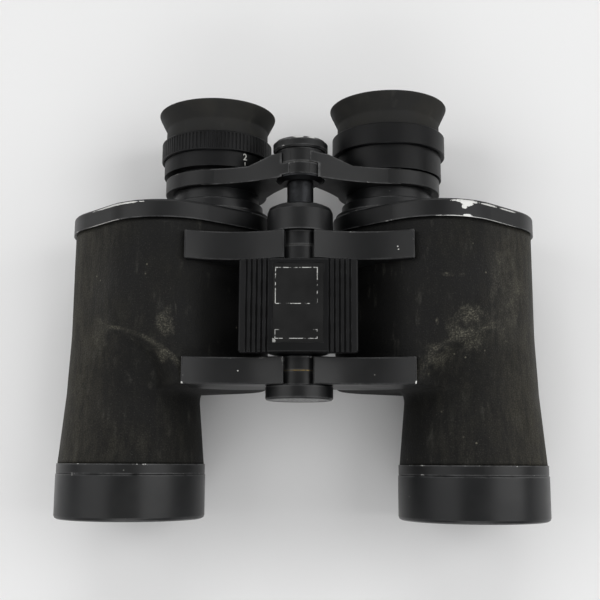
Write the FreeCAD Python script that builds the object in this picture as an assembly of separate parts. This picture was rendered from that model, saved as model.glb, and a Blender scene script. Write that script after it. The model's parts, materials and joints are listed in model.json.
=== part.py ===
"""Porro-prism binoculars with a rocker focus lever, 40 mm class.

Frame: +X towards the user's left eyepiece side, +Y from the objectives to the eyepieces,
+Z up through the rocker. The origin is below the middle of the object, on the surface it lies on.
Every length is in millimetres. The left half is on +X and the right half on -X.
"""
import FreeCAD
import Part
import math
import os

Vector = FreeCAD.Vector
os.makedirs("parts", exist_ok=True)

# ---------------------------------------------------------------- optical and hinge axes
OBJECTIVE_X, OBJECTIVE_Z = 59.9, 26.0
EYEPIECE_X, EYEPIECE_Z = 31.4, 28.8
HINGE_Z = 50.5

# ---------------------------------------------------------------- stations along Y
RIM_FRONT = -73.75            # face of the objective caps
CAP_BACK = -58.35
FLANGE_BACK = -55.05          # end of the bare collar, start of the leatherette
CONE_BACK = -31.0             # the objective cone meets the shoulder here
BLOCK_FRONT = -29.5           # flat front wall beside the objective cone
SHOULDER_BACK = -10.0
HOUSING_BACK = 25.7
COVER_BACK = 31.85
SHELF_FRONT, SHELF_BACK = -1.0, 1.0

# ---------------------------------------------------------------- prism housing outline
# Circles (x, z, radius) whose common outline is the prism cover, seen along Y.
COVER_CIRCLES = [
    (OBJECTIVE_X, OBJECTIVE_Z, 23.2),   # outer end, round the objective axis
    (47.0, 36.0, 24.8),                 # crest
    (EYEPIECE_X, EYEPIECE_Z, 20.2),     # inner end, round the eyepiece axis
    (47.0, 23.0, 23.0),                 # belly, which touches the table
]
COVER_OVERHANG = 0.8          # the cover stands proud of the leatherette
LEATHER = 0.8
WALL = 2.0
COVER_WALL = 2.0
COVER_EDGE_ROUND = 0.9

LOFT_STEP = 0.05              # keeps the shoulder's rear edge just inside the housing

# Ellipse in plan that cuts the housing's front corner away beside the objective cone.
ARCH_X, ARCH_HALF_X, ARCH_HALF_Y = 80.0, 41.0, 20.0

# Cover screws: (x, z) places, and the bosses in the housing that take them.
SCREW_PLACES = [(77.0, 26.0), (38.0, 53.0), (47.0, 5.6)]
SCREW_RADIUS, SCREW_HEAD_RADIUS, SCREW_FRONT, SCREW_HEAD_DEPTH = 1.0, 2.1, 18.0, 1.2
BOSS_RADIUS, BOSS_FRONT = 2.8, 15.0

# Prisms: half the width of the glass, the light holes of the shelf, the spring straps.
PRISM_HALF_WIDTH, BEAM_HOLE_RADIUS = 9.8, 9.0
STRAP_THICKNESS, STRAP_HALF_WIDTH = 0.5, 2.5

# ---------------------------------------------------------------- objective end
CAP_RADIUS = 26.0
FLANGE_RADIUS = 25.8
CONE_FRONT_RADIUS, CONE_BACK_RADIUS = 25.4, 23.3
SPIGOT_RADIUS, SPIGOT_FRONT = 23.65, -64.0
CELL_RADIUS, CELL_BACK = 21.85, -50.0
RECESS_RADIUS = 22.4
CAP_EDGE = 0.4                # chamfer on the edges of the cap
CELL_LIP_RADIUS, CELL_LIP = 18.8, 1.5
LENS_RADIUS = 20.4
RETAINER_DEPTH, RETAINER_WALL = 2.0, 1.2
CROWN_THICKNESS, CROWN_BULGE, CEMENTED_BULGE, FLINT_BULGE = 2.6, 1.7, 1.9, 0.4

# ---------------------------------------------------------------- centre hinge
AXLE_RADIUS, AXLE_BORE = 6.2, 4.54
RUNNING_GAP = 0.05
KNUCKLE_RADIUS = 8.8
KNUCKLE_RELIEF = 9.15
FRONT_ARM = (-29.55, -20.55)
REAR_ARM = (11.65, 21.35)
WASHER = 0.3
SLOT_HALF_WIDTH = 4.8
ARM_END_X, ARM_TOP_Z, ARM_VALLEY_Z = 37.9, 61.0, 57.2
WEB_INNER_Z, WEB_LOWEST, WEB_OUTER_Z = 40.9, (20.0, 33.0), 46.0
ARM_EDGE_ROUND = 0.45
HUB_RADIUS, HUB_FRONT, HUB_BACK = 11.16, 21.45, 30.95
FRONT_CAP_RADIUS, FRONT_CAP_FRONT = 11.2, -34.25
BADGE_RADIUS, BADGE_DEPTH = 9.9, 0.7

# ---------------------------------------------------------------- rocker and focus drive
ROCKER_FRONT, SLEEVE_FRONT, ROCKER_BACK = -19.9, -18.9, 10.5
ROCKER_HALF_WIDTH, ROCKER_TOP, ROCKER_WING_BOTTOM = 19.2, 66.3, 61.2
ROCKER_SLEEVE_RADIUS, ROCKER_EDGE_ROUND = 9.4, 0.7
ROCKER_EDGE_DROP, ROCKER_FLAT_HALF = 1.3, 9.4
STEM_TOP_HALF, STEM_FOOT_HALF, STEM_FOOT_Z = 10.5, 8.6, 54.0
GROOVE_FIRST_X, GROOVE_PITCH, GROOVE_COUNT = 10.0, 1.65, 5
GROOVE_HALF_WIDTH, GROOVE_DEPTH = 0.35, 2.1
NAMEPLATE_HALF_WIDTH, NAMEPLATE_FRONT, NAMEPLATE_BACK, NAMEPLATE_DEPTH = 8.2, -16.9, 8.9, 0.9
ROCKER_TRAVEL_DEG, FOCUS_TRAVEL = 20.0, 3.5
ROD_RADIUS, ROD_FRONT = 4.49, -12.0
DRIVE_PIN_RADIUS, DRIVE_PIN_GAP, DRIVE_PIN_Y = 1.2, 0.2, -4.0

# ---------------------------------------------------------------- eyepiece bridge
BRIDGE_FRONT, BRIDGE_RING_BACK, BRIDGE_HUB_BACK = 40.65, 46.15, 49.0
BRIDGE_RING_RADIUS = 18.3
BAR_TOP = [(3.5, 58.1), (17.5, 50.2), (34.6, 46.7)]       # arcs of the bar, as (x, z) points
BAR_BOTTOM = [(17.0, 17.6), (10.2, 35.0), (4.6, 43.5)]
BAR_THICK_UNTIL_X, BAR_THIN_FROM_X = 9.6, 18.0
BRIDGE_EDGE_ROUND = 0.45
RING_ROOM_RADIUS = 19.4       # the bar stays clear of the rings behind it
BRIDGE_FLANGE_FRONT, BRIDGE_SPLIT, BRIDGE_KNUCKLE_BACK, BRIDGE_CAP_BACK = 39.5, 45.3, 50.2, 53.85
BRIDGE_KNUCKLE_RADIUS, BRIDGE_RELIEF, BRIDGE_CAP_RADIUS = 8.0, 8.35, 9.37
CAP_SCREW_RADIUS, CAP_SCREW_LENGTH = 2.0, 8.0

# ---------------------------------------------------------------- eyepieces
BARREL_RADIUS, BARREL_BORE, BARREL_FRONT = 15.5, 13.9, 26.2
GUIDE_RADIUS, GUIDE_FRONT, GUIDE_BACK = 17.0, COVER_BACK - COVER_WALL, 36.9
CELL_TUBE_RADIUS, CELL_TUBE_BORE = 13.85, 12.2
CELL_TUBE_FRONT, CELL_FLANGE = 44.0, 1.7
EYE_LENS_RADIUS = 12.2
EYECUP_BAND_RADIUS, EYECUP_RIM_RADIUS, EYECUP_BORE, EYECUP_WALL = 18.5, 21.3, 14.1, 1.5

# The fixed left eyepiece reaches further back than the right one with its dioptre ring.
EYECUP_RIM = {"left": 73.75, "right": 71.25}
EYECUP_BAND_END = {"left": 67.2, "right": 65.15}
FLANGE_FRONT = {"left": 57.15, "right": 55.8}
BARREL_BACK = {"left": 56.5, "right": 54.0}

# Rings round the barrel: outer radius and the span along Y.
SCALE_RING = (19.0, 47.45, 52.95)
GRIP_RING = (20.0, 52.95, 59.9)
GRIP_BORE, GRIP_SHELF = 17.0, 54.4
RIB_COUNT, RIB_RADIUS = 90, 0.32
SPACER_RING = (19.0, 46.3, 54.75)
COLLAR = (20.4, 54.75, 62.25)
COLLAR_SHELF = 56.8
RING_EDGE = 0.3               # chamfer on the edges of the rings


# ================================================================ drawing helpers
def point(x, z, y):
    return Vector(x, y, z)


def cylinder(x, z, radius, y0, y1):
    """Solid round bar along Y."""
    return Part.makeCylinder(radius, y1 - y0, Vector(x, y0, z), Vector(0, 1, 0))


def cone(x, z, radius0, y0, radius1, y1):
    return Part.makeCone(radius0, radius1, y1 - y0, Vector(x, y0, z), Vector(0, 1, 0))


def tube(x, z, outer, inner, y0, y1):
    """Round tube along Y."""
    return cylinder(x, z, outer, y0, y1).cut(cylinder(x, z, inner, y0 - 1, y1 + 1))


def box(x0, x1, y0, y1, z0, z1):
    return Part.makeBox(x1 - x0, y1 - y0, z1 - z0, Vector(x0, y0, z0))


def turned(x, z, profile):
    """Solid of revolution about the line through (x, z) along Y, from (radius, y) points."""
    points = [Vector(x + radius, y, z) for radius, y in profile]
    face = Part.Face(Part.makePolygon(points + [points[0]]))
    return face.revolve(Vector(x, 0, z), Vector(0, 1, 0), 360)


def fuse_all(shapes):
    whole = shapes[0]
    for shape in shapes[1:]:
        whole = whole.fuse(shape)
    return whole.removeSplitter()


def round_edges(shape, radius, y, tolerance=0.01):
    """Rounds every edge that lies in the plane at y."""
    edges = [e for e in shape.Edges
             if abs(e.BoundBox.YMin - y) < tolerance and abs(e.BoundBox.YMax - y) < tolerance]
    return shape.makeFillet(radius, edges)


def mirrored(shape):
    return shape.mirror(Vector(0, 0, 0), Vector(1, 0, 0))


# ================================================================ housing outline
def tangent_angles(circles):
    """Outward direction of the common tangent from each circle to the next."""
    angles = []
    for index, (x, z, radius) in enumerate(circles):
        next_x, next_z, next_radius = circles[(index + 1) % len(circles)]
        distance = math.hypot(next_x - x, next_z - z)
        heading = math.atan2(next_z - z, next_x - x)
        angles.append(heading - math.acos((radius - next_radius) / distance))
    return angles


def outline_corners(inset):
    """Start, middle and end of each arc of the outline, as (x, z) points."""
    circles = [(x, z, radius - inset) for x, z, radius in COVER_CIRCLES]
    leaving = tangent_angles(circles)
    arcs = []
    for index, (x, z, radius) in enumerate(circles):
        start, end = leaving[index - 1], leaving[index]
        while end < start:
            end += 2 * math.pi
        arcs.append([(x + radius * math.cos(a), z + radius * math.sin(a))
                     for a in (start, (start + end) / 2, end)])
    return arcs


def outline_wire(inset, y):
    arcs = outline_corners(inset)
    edges = []
    for index, (start, middle, end) in enumerate(arcs):
        after = arcs[(index + 1) % len(arcs)][0]
        edges.append(Part.Arc(point(*start, y), point(*middle, y), point(*end, y)).toShape())
        edges.append(Part.makeLine(point(*end, y), point(*after, y)))
    return Part.Wire(edges)


def circle_wire_like_outline(inset, radius, y):
    """The objective cone's circle, divided where the outline is divided."""
    corners = []
    for start, middle, end in outline_corners(inset):
        corners += [start, end]
    angles = [math.atan2(z - OBJECTIVE_Z, x - OBJECTIVE_X) for x, z in corners]
    edges = []
    for index, start in enumerate(angles):
        end = angles[(index + 1) % len(angles)]
        while end < start:
            end += 2 * math.pi
        around = [point(OBJECTIVE_X + radius * math.cos(a), OBJECTIVE_Z + radius * math.sin(a), y)
                  for a in (start, (start + end) / 2, end)]
        edges.append(Part.Arc(*around).toShape())
    return Part.Wire(edges)


def outline_prism(inset, y0, y1):
    return Part.Face(outline_wire(inset, y0)).extrude(Vector(0, y1 - y0, 0))


def envelope(depth):
    """Housing, shoulder and objective cone, at a depth below the leatherette's surface."""
    inset = COVER_OVERHANG + depth
    housing = outline_prism(inset, BLOCK_FRONT + depth, HOUSING_BACK)
    ellipse = Part.Ellipse(Vector(ARCH_X, BLOCK_FRONT, -10), ARCH_HALF_X + depth, ARCH_HALF_Y + depth)
    arch = Part.Face(Part.Wire([ellipse.toShape()])).extrude(Vector(0, 0, 90))
    shoulder = Part.makeLoft([
        circle_wire_like_outline(inset, CONE_BACK_RADIUS - depth, CONE_BACK),
        outline_wire(inset + LOFT_STEP, SHOULDER_BACK + LOFT_STEP),
    ], True, True)
    front_cone = cone(OBJECTIVE_X, OBJECTIVE_Z, CONE_FRONT_RADIUS - depth, FLANGE_BACK,
                      CONE_BACK_RADIUS - depth, CONE_BACK)
    return fuse_all([housing.cut(arch), shoulder, front_cone])


# ================================================================ one half of the body
def hinge_arm(span, knuckle_span):
    """Arm of the left half: bar, web and one knuckle, over the Y range span."""
    y0, y1 = span
    top = Part.Arc(point(ARM_END_X, ARM_TOP_Z, y0),
                   point((ARM_END_X + SLOT_HALF_WIDTH) / 2, ARM_VALLEY_Z, y0),
                   point(SLOT_HALF_WIDTH, ARM_TOP_Z, y0)).toShape()
    inner_side = Part.makeLine(point(SLOT_HALF_WIDTH, ARM_TOP_Z, y0), point(SLOT_HALF_WIDTH, WEB_INNER_Z, y0))
    belly = Part.Arc(point(SLOT_HALF_WIDTH, WEB_INNER_Z, y0), point(*WEB_LOWEST, y0),
                     point(ARM_END_X, WEB_OUTER_Z, y0)).toShape()
    outer_side = Part.makeLine(point(ARM_END_X, WEB_OUTER_Z, y0), point(ARM_END_X, ARM_TOP_Z, y0))
    face = Part.Face(Part.Wire([top, inner_side, belly, outer_side]))
    bar = face.extrude(Vector(0, y1 - y0, 0))
    bar = bar.makeFillet(ARM_EDGE_ROUND, bar.Edges)
    bar = bar.cut(cylinder(0, HINGE_Z, KNUCKLE_RELIEF, y0 - 1, y1 + 1))
    own0, own1 = knuckle_span
    knuckle = cylinder(0, HINGE_Z, KNUCKLE_RADIUS, own0, own1)
    gap_filler = face.extrude(Vector(0, own1 - own0, 0))
    gap_filler.translate(Vector(0, own0 - y0, 0))
    gap_filler = gap_filler.common(cylinder(0, HINGE_Z, KNUCKLE_RELIEF + 1, own0, own1))
    return fuse_all([bar, gap_filler, knuckle])


def knuckle_spans(span, is_left):
    """The front half of each hinge is the left body's, the rear half the right body's."""
    y0, y1 = span
    middle = (y0 + y1) / 2
    if is_left:
        return y0, middle - WASHER / 2
    return middle + WASHER / 2, y1


def hinge_arms(is_left):
    return [hinge_arm(span, knuckle_spans(span, is_left)) for span in (FRONT_ARM, REAR_ARM)]


def body_casting(is_left):
    cavity = envelope(LEATHER + WALL)
    shell = envelope(LEATHER)
    collar = cylinder(OBJECTIVE_X, OBJECTIVE_Z, FLANGE_RADIUS, CAP_BACK, FLANGE_BACK)
    spigot = cylinder(OBJECTIVE_X, OBJECTIVE_Z, SPIGOT_RADIUS, SPIGOT_FRONT, CAP_BACK)
    solid = fuse_all([shell, collar, spigot] + hinge_arms(is_left))
    solid = solid.cut(cavity)
    solid = solid.cut(cylinder(OBJECTIVE_X, OBJECTIVE_Z, CELL_RADIUS, SPIGOT_FRONT - 1, CELL_BACK))
    bosses = [cylinder(x, z, BOSS_RADIUS, BOSS_FRONT, HOUSING_BACK) for x, z in SCREW_PLACES]
    bosses = [boss.common(shell) for boss in bosses]
    solid = fuse_all([solid] + bosses)
    for x, z in SCREW_PLACES:
        solid = solid.cut(cylinder(x, z, SCREW_RADIUS, BOSS_FRONT + 2, HOUSING_BACK + 1))
    return solid.cut(cylinder(0, HINGE_Z, AXLE_RADIUS + RUNNING_GAP, -40, 40))


def leatherette(is_left):
    skin = envelope(0).cut(envelope(LEATHER))
    for arm in hinge_arms(is_left):
        skin = skin.cut(arm)
    return skin


def prism_cover():
    cover = outline_prism(0, HOUSING_BACK, COVER_BACK)
    cover = round_edges(cover, COVER_EDGE_ROUND, COVER_BACK)
    boss = cylinder(EYEPIECE_X, EYEPIECE_Z, GUIDE_RADIUS + 2.2, COVER_BACK - 1, COVER_BACK + 1.2)
    cover = cover.fuse(boss)
    hollow = outline_prism(COVER_OVERHANG + LEATHER + WALL, HOUSING_BACK - 1, COVER_BACK - COVER_WALL)
    cover = cover.cut(hollow)
    cover = cover.cut(cylinder(EYEPIECE_X, EYEPIECE_Z, GUIDE_RADIUS, 20, 40))
    seats = [cylinder(x, z, BOSS_RADIUS + 0.2, HOUSING_BACK, COVER_BACK - 1.5) for x, z in SCREW_PLACES]
    seats = [seat.common(outline_prism(0, HOUSING_BACK, COVER_BACK)) for seat in seats]
    cover = fuse_all([cover] + seats)
    for screw in cover_screw_list():
        cover = cover.cut(screw)
    return cover


def cover_screw_list():
    screws = []
    head_front = COVER_BACK - SCREW_HEAD_DEPTH
    for x, z in SCREW_PLACES:
        shank = cylinder(x, z, SCREW_RADIUS, SCREW_FRONT, head_front)
        head = cone(x, z, SCREW_RADIUS, head_front, SCREW_HEAD_RADIUS, COVER_BACK - 0.1)
        slot = box(x - 3, x + 3, COVER_BACK - 0.6, COVER_BACK, z - 0.25, z + 0.25)
        screws.append(shank.fuse(head).cut(slot).removeSplitter())
    return screws


def beam_points():
    """Where the light runs along Y: objective, between the prisms, eyepiece."""
    objective = Vector(OBJECTIVE_X, 0, OBJECTIVE_Z)
    eyepiece = Vector(EYEPIECE_X, 0, EYEPIECE_Z)
    across = eyepiece - objective
    between = (objective + eyepiece) * 0.5 + Vector(across.z, 0, -across.x) * 0.5
    return objective, between, eyepiece


def prism_pieces(start, end, y_face, direction):
    """Right-angle prism with its long face at y_face, and the spring clip over its roof."""
    centre = (start + end) * 0.5
    along = (end - start)
    half = along.Length
    along.normalize()
    across = Vector(along.z, 0, -along.x)
    base = Vector(centre.x, y_face, centre.z) - across * PRISM_HALF_WIDTH
    corners = [base - along * half, base + along * half, base + Vector(0, direction * half, 0)]
    prism = Part.Face(Part.makePolygon(corners + [corners[0]])).extrude(across * 2 * PRISM_HALF_WIDTH)
    clip = prism_clip(centre, along, across, y_face, direction, half)
    return prism, clip


def prism_clip(centre, along, across, y_face, direction, height):
    """Spring strap bent over the roof of a prism."""
    inner_half = PRISM_HALF_WIDTH
    outer_half = inner_half + STRAP_THICKNESS
    over = height + STRAP_THICKNESS
    outer = [(-outer_half, 0), (outer_half, 0), (outer_half, over), (-outer_half, over)]
    inner = [(-inner_half, -1), (inner_half, -1), (inner_half, height), (-inner_half, height)]
    base = Vector(centre.x, y_face, centre.z) - along * STRAP_HALF_WIDTH
    solids = []
    for corners in (outer, inner):
        points = [base + across * u + Vector(0, direction * v, 0) for u, v in corners]
        face = Part.Face(Part.makePolygon(points + [points[0]]))
        solids.append(face.extrude(along * 2 * STRAP_HALF_WIDTH))
    return solids[0].cut(solids[1])


def prism_shelf():
    shelf = outline_prism(COVER_OVERHANG + LEATHER + WALL, SHELF_FRONT, SHELF_BACK)
    for beam in beam_points():
        shelf = shelf.cut(cylinder(beam.x, beam.z, BEAM_HOLE_RADIUS, SHELF_FRONT - 1, SHELF_BACK + 1))
    return shelf


# ================================================================ objective pieces
def objective_cap():
    x, z = OBJECTIVE_X, OBJECTIVE_Z
    profile = [(RECESS_RADIUS, RIM_FRONT + CAP_EDGE), (RECESS_RADIUS + CAP_EDGE, RIM_FRONT),
               (CAP_RADIUS - 1.0, RIM_FRONT), (CAP_RADIUS - 0.3, RIM_FRONT + CAP_EDGE),
               (CAP_RADIUS, RIM_FRONT + 1.2), (CAP_RADIUS, CAP_BACK - CAP_EDGE),
               (CAP_RADIUS - CAP_EDGE, CAP_BACK), (SPIGOT_RADIUS, CAP_BACK),
               (SPIGOT_RADIUS, SPIGOT_FRONT), (RECESS_RADIUS, SPIGOT_FRONT)]
    return turned(x, z, profile)


def objective_cell():
    x, z = OBJECTIVE_X, OBJECTIVE_Z
    lip_front = CELL_BACK - CELL_LIP
    profile = [(LENS_RADIUS, SPIGOT_FRONT), (CELL_RADIUS, SPIGOT_FRONT), (CELL_RADIUS, CELL_BACK),
               (CELL_LIP_RADIUS, CELL_BACK), (CELL_LIP_RADIUS, lip_front), (LENS_RADIUS, lip_front)]
    return turned(x, z, profile)


def dome_arc(x, z, radius, y_edge, bulge, direction):
    """Quarter profile of a spherical face, from the axis to the lens edge."""
    ball = (radius ** 2 + bulge ** 2) / (2 * bulge)
    centre_y = y_edge - direction * (ball - bulge)
    half_angle = math.asin(radius / ball) / 2
    top = Vector(x, y_edge + direction * bulge, z)
    middle = Vector(x + ball * math.sin(half_angle),
                    centre_y + direction * ball * math.cos(half_angle), z)
    return Part.Arc(top, middle, Vector(x + radius, y_edge, z)).toShape()


def lens(x, z, radius, y0, y1, bulge0, bulge1):
    """Round lens from y0 to y1 at its edge. A positive bulge raises a face, a negative one sinks it."""
    front_way = -1 if bulge0 > 0 else 1
    back_way = 1 if bulge1 > 0 else -1
    edges = [
        dome_arc(x, z, radius, y0, abs(bulge0), front_way),
        Part.makeLine(Vector(x + radius, y0, z), Vector(x + radius, y1, z)),
        dome_arc(x, z, radius, y1, abs(bulge1), back_way),
        Part.makeLine(Vector(x, y1 + bulge1, z), Vector(x, y0 - bulge0, z)),
    ]
    face = Part.Face(Part.Wire(Part.__sortEdges__(edges)))
    return face.revolve(Vector(x, 0, z), Vector(0, 1, 0), 360)


def objective_lenses():
    x, z = OBJECTIVE_X, OBJECTIVE_Z
    crown_front = SPIGOT_FRONT + RETAINER_DEPTH
    cement = crown_front + CROWN_THICKNESS
    flint_back = CELL_BACK - CELL_LIP - 0.1
    crown = lens(x, z, LENS_RADIUS, crown_front, cement, CROWN_BULGE, CEMENTED_BULGE)
    flint = lens(x, z, LENS_RADIUS, cement, flint_back, -CEMENTED_BULGE, FLINT_BULGE)
    retainer = tube(x, z, LENS_RADIUS, LENS_RADIUS - RETAINER_WALL, SPIGOT_FRONT, crown_front - 0.25)
    return crown, flint, retainer


# ================================================================ eyepiece pieces
def guide_tube():
    bore = BARREL_RADIUS + RUNNING_GAP
    guide = tube(EYEPIECE_X, EYEPIECE_Z, GUIDE_RADIUS, bore, GUIDE_FRONT, GUIDE_BACK)
    return round_edges_outer(guide, 0.5, GUIDE_BACK, GUIDE_RADIUS)


def round_edges_outer(shape, radius, y, edge_radius):
    """Rounds the circular edge of one radius in the plane at y."""
    edges = [e for e in shape.Edges
             if abs(e.BoundBox.YMin - y) < 0.01 and abs(e.BoundBox.YMax - y) < 0.01
             and abs(e.BoundBox.XLength - 2 * edge_radius) < 0.05]
    return shape.makeFillet(radius, edges)


def bridge_arm(is_left):
    """Arm of the left eyepiece: ring round the barrel, swept bar and one knuckle on the rod."""
    y0 = BRIDGE_FRONT
    ring = cylinder(EYEPIECE_X, EYEPIECE_Z, BRIDGE_RING_RADIUS, y0, BRIDGE_RING_BACK)
    ring = ring.makeFillet(BRIDGE_EDGE_ROUND, [e for e in ring.Edges if e.BoundBox.YLength < 0.01])
    top = Part.Arc(*[point(x, z, y0) for x, z in BAR_TOP]).toShape()
    bottom = Part.Arc(*[point(x, z, y0) for x, z in BAR_BOTTOM]).toShape()
    close_right = Part.makeLine(point(*BAR_TOP[2], y0), point(*BAR_BOTTOM[0], y0))
    close_left = Part.makeLine(point(*BAR_BOTTOM[2], y0), point(*BAR_TOP[0], y0))
    face = Part.Face(Part.Wire([top, close_right, bottom, close_left]))
    bar = face.extrude(Vector(0, BRIDGE_HUB_BACK - y0, 0))
    bar = bar.cut(bridge_taper())
    ring_room = cylinder(EYEPIECE_X, EYEPIECE_Z, RING_ROOM_RADIUS, BRIDGE_RING_BACK, BRIDGE_HUB_BACK + 1)
    bar = bar.cut(ring_room)
    bar = bar.cut(cylinder(0, HINGE_Z, BRIDGE_RELIEF, y0 - 1, BRIDGE_KNUCKLE_BACK + 1))
    if is_left:
        knuckle0, knuckle1 = BRIDGE_SPLIT + WASHER / 2, BRIDGE_KNUCKLE_BACK
    else:
        knuckle0, knuckle1 = BRIDGE_FRONT + 0.6, BRIDGE_SPLIT - WASHER / 2
    knuckle = cylinder(0, HINGE_Z, BRIDGE_KNUCKLE_RADIUS, knuckle0, knuckle1)
    filler = face.extrude(Vector(0, BRIDGE_HUB_BACK - y0, 0))
    filler_back = min(knuckle1, BRIDGE_HUB_BACK)
    filler = filler.common(cylinder(0, HINGE_Z, BRIDGE_RELIEF + 1, knuckle0, filler_back))
    arm = fuse_all([ring, bar, filler, knuckle])
    arm = arm.cut(cylinder(0, HINGE_Z, ROD_RADIUS + RUNNING_GAP, 30, 60))
    return arm.cut(cylinder(EYEPIECE_X, EYEPIECE_Z, BARREL_RADIUS, 30, 60))


def bridge_taper():
    """Wedge that thins the bar from its knuckle to the ring."""
    far = EYEPIECE_X + BRIDGE_RING_RADIUS + 10
    corners = [Vector(BAR_THICK_UNTIL_X, BRIDGE_HUB_BACK, 0), Vector(BAR_THIN_FROM_X, BRIDGE_RING_BACK, 0),
               Vector(far, BRIDGE_RING_BACK, 0), Vector(far, BRIDGE_HUB_BACK + 1, 0),
               Vector(BAR_THICK_UNTIL_X, BRIDGE_HUB_BACK + 1, 0)]
    return Part.Face(Part.makePolygon(corners + [corners[0]])).extrude(Vector(0, 0, 90))


def eyecup(base, band_end, rim):
    """Rubber cup: straight band, then a flare to the rim."""
    band, flare = EYECUP_BAND_RADIUS, EYECUP_RIM_RADIUS
    mid_y = (band_end + rim) / 2
    profile = [(EYECUP_BORE, base), (band, base), (band, band_end),
               ((band + flare) / 2 - 0.2, mid_y), (flare, rim - 0.8), (flare - 0.2, rim),
               (flare - 1.2, rim), (flare - EYECUP_WALL - 0.3, rim - 1.0),
               (band - EYECUP_WALL - 0.4, band_end + 0.6), (EYECUP_BORE, band_end - 1.4)]
    return turned(EYEPIECE_X, EYEPIECE_Z, profile)


def ocular_cell(flange_front):
    """Lens tube with the flange that carries the eyecup."""
    x, z = EYEPIECE_X, EYEPIECE_Z
    flange_back = flange_front + CELL_FLANGE
    flange_radius = EYECUP_BAND_RADIUS - 0.1
    lip_radius = EYE_LENS_RADIUS - 1.0
    lip_front, lip_back = flange_back + 2.6, flange_back + 3.4
    profile = [(CELL_TUBE_BORE, CELL_TUBE_FRONT), (CELL_TUBE_RADIUS, CELL_TUBE_FRONT),
               (CELL_TUBE_RADIUS, flange_front), (flange_radius, flange_front),
               (flange_radius, flange_back), (EYECUP_BORE, flange_back),
               (EYECUP_BORE, lip_back), (lip_radius, lip_back),
               (lip_radius, lip_front), (CELL_TUBE_BORE, lip_front)]
    return turned(x, z, profile)


def right_eyepiece_rings():
    x, z = EYEPIECE_X, EYEPIECE_Z
    radius, front, back = SCALE_RING
    scale = tube(x, z, radius, BARREL_RADIUS + RUNNING_GAP, front, back)
    radius, front, back = GRIP_RING
    pocket = EYECUP_BAND_RADIUS + 0.35
    grip = turned(x, z, [(GRIP_BORE, front), (radius - RING_EDGE, front), (radius, front + RING_EDGE),
                         (radius, back - RING_EDGE), (radius - RING_EDGE, back), (pocket, back),
                         (pocket, GRIP_SHELF), (GRIP_BORE, GRIP_SHELF)])
    ribs = []
    for index in range(RIB_COUNT):
        angle = 2 * math.pi * index / RIB_COUNT
        ribs.append(cylinder(x + radius * math.cos(angle), z + radius * math.sin(angle),
                             RIB_RADIUS, front + 2 * RING_EDGE, back - 2 * RING_EDGE))
    return scale, grip.cut(Part.Compound(ribs))


def left_eyepiece_rings():
    x, z = EYEPIECE_X, EYEPIECE_Z
    radius, front, back = SPACER_RING
    spacer = tube(x, z, radius, BARREL_RADIUS, front, back)
    radius, front, back = COLLAR
    pocket = EYECUP_BAND_RADIUS
    collar = turned(x, z, [(BARREL_RADIUS, front), (radius - RING_EDGE, front), (radius, front + RING_EDGE),
                           (radius, back - RING_EDGE), (radius - RING_EDGE, back), (pocket, back),
                           (pocket, COLLAR_SHELF), (BARREL_RADIUS, COLLAR_SHELF)])
    return spacer, collar


# ================================================================ centre pieces
def hinge_axle():
    axle = tube(0, HINGE_Z, AXLE_RADIUS, AXLE_BORE, FRONT_ARM[0] - 0.1, HUB_BACK - 1.5)
    slot_half = FOCUS_TRAVEL + DRIVE_PIN_RADIUS + DRIVE_PIN_GAP
    width = DRIVE_PIN_RADIUS + DRIVE_PIN_GAP
    slot = box(-20, 20, DRIVE_PIN_Y - slot_half, DRIVE_PIN_Y + slot_half, HINGE_Z - width, HINGE_Z + width)
    return axle.cut(slot)


def hinge_washers():
    washers = []
    for y0, y1 in (FRONT_ARM, REAR_ARM):
        middle = (y0 + y1) / 2
        front, back = middle - WASHER / 2, middle + WASHER / 2
        washers.append(tube(0, HINGE_Z, KNUCKLE_RADIUS, AXLE_RADIUS, front, back))
    return washers


def hub_nut():
    profile = [(AXLE_RADIUS, HUB_FRONT), (HUB_RADIUS, HUB_FRONT), (HUB_RADIUS, HUB_BACK - 2.2),
               (HUB_RADIUS - 0.6, HUB_BACK - 0.8), (HUB_RADIUS - 2.2, HUB_BACK),
               (ROD_RADIUS + RUNNING_GAP, HUB_BACK), (ROD_RADIUS + RUNNING_GAP, HUB_BACK - 1.5),
               (AXLE_RADIUS, HUB_BACK - 1.5)]
    return turned(0, HINGE_Z, profile)


def front_cap():
    back = FRONT_ARM[0] - 0.1
    profile = [(0, back), (FRONT_CAP_RADIUS - 0.3, back), (FRONT_CAP_RADIUS, back - 0.4),
               (FRONT_CAP_RADIUS, FRONT_CAP_FRONT + 0.5), (FRONT_CAP_RADIUS - 0.5, FRONT_CAP_FRONT),
               (BADGE_RADIUS, FRONT_CAP_FRONT), (BADGE_RADIUS, FRONT_CAP_FRONT + BADGE_DEPTH),
               (0, FRONT_CAP_FRONT + BADGE_DEPTH)]
    return turned(0, HINGE_Z, profile)


def front_badge():
    return cylinder(0, HINGE_Z, BADGE_RADIUS, FRONT_CAP_FRONT + 0.1, FRONT_CAP_FRONT + BADGE_DEPTH)


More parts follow.
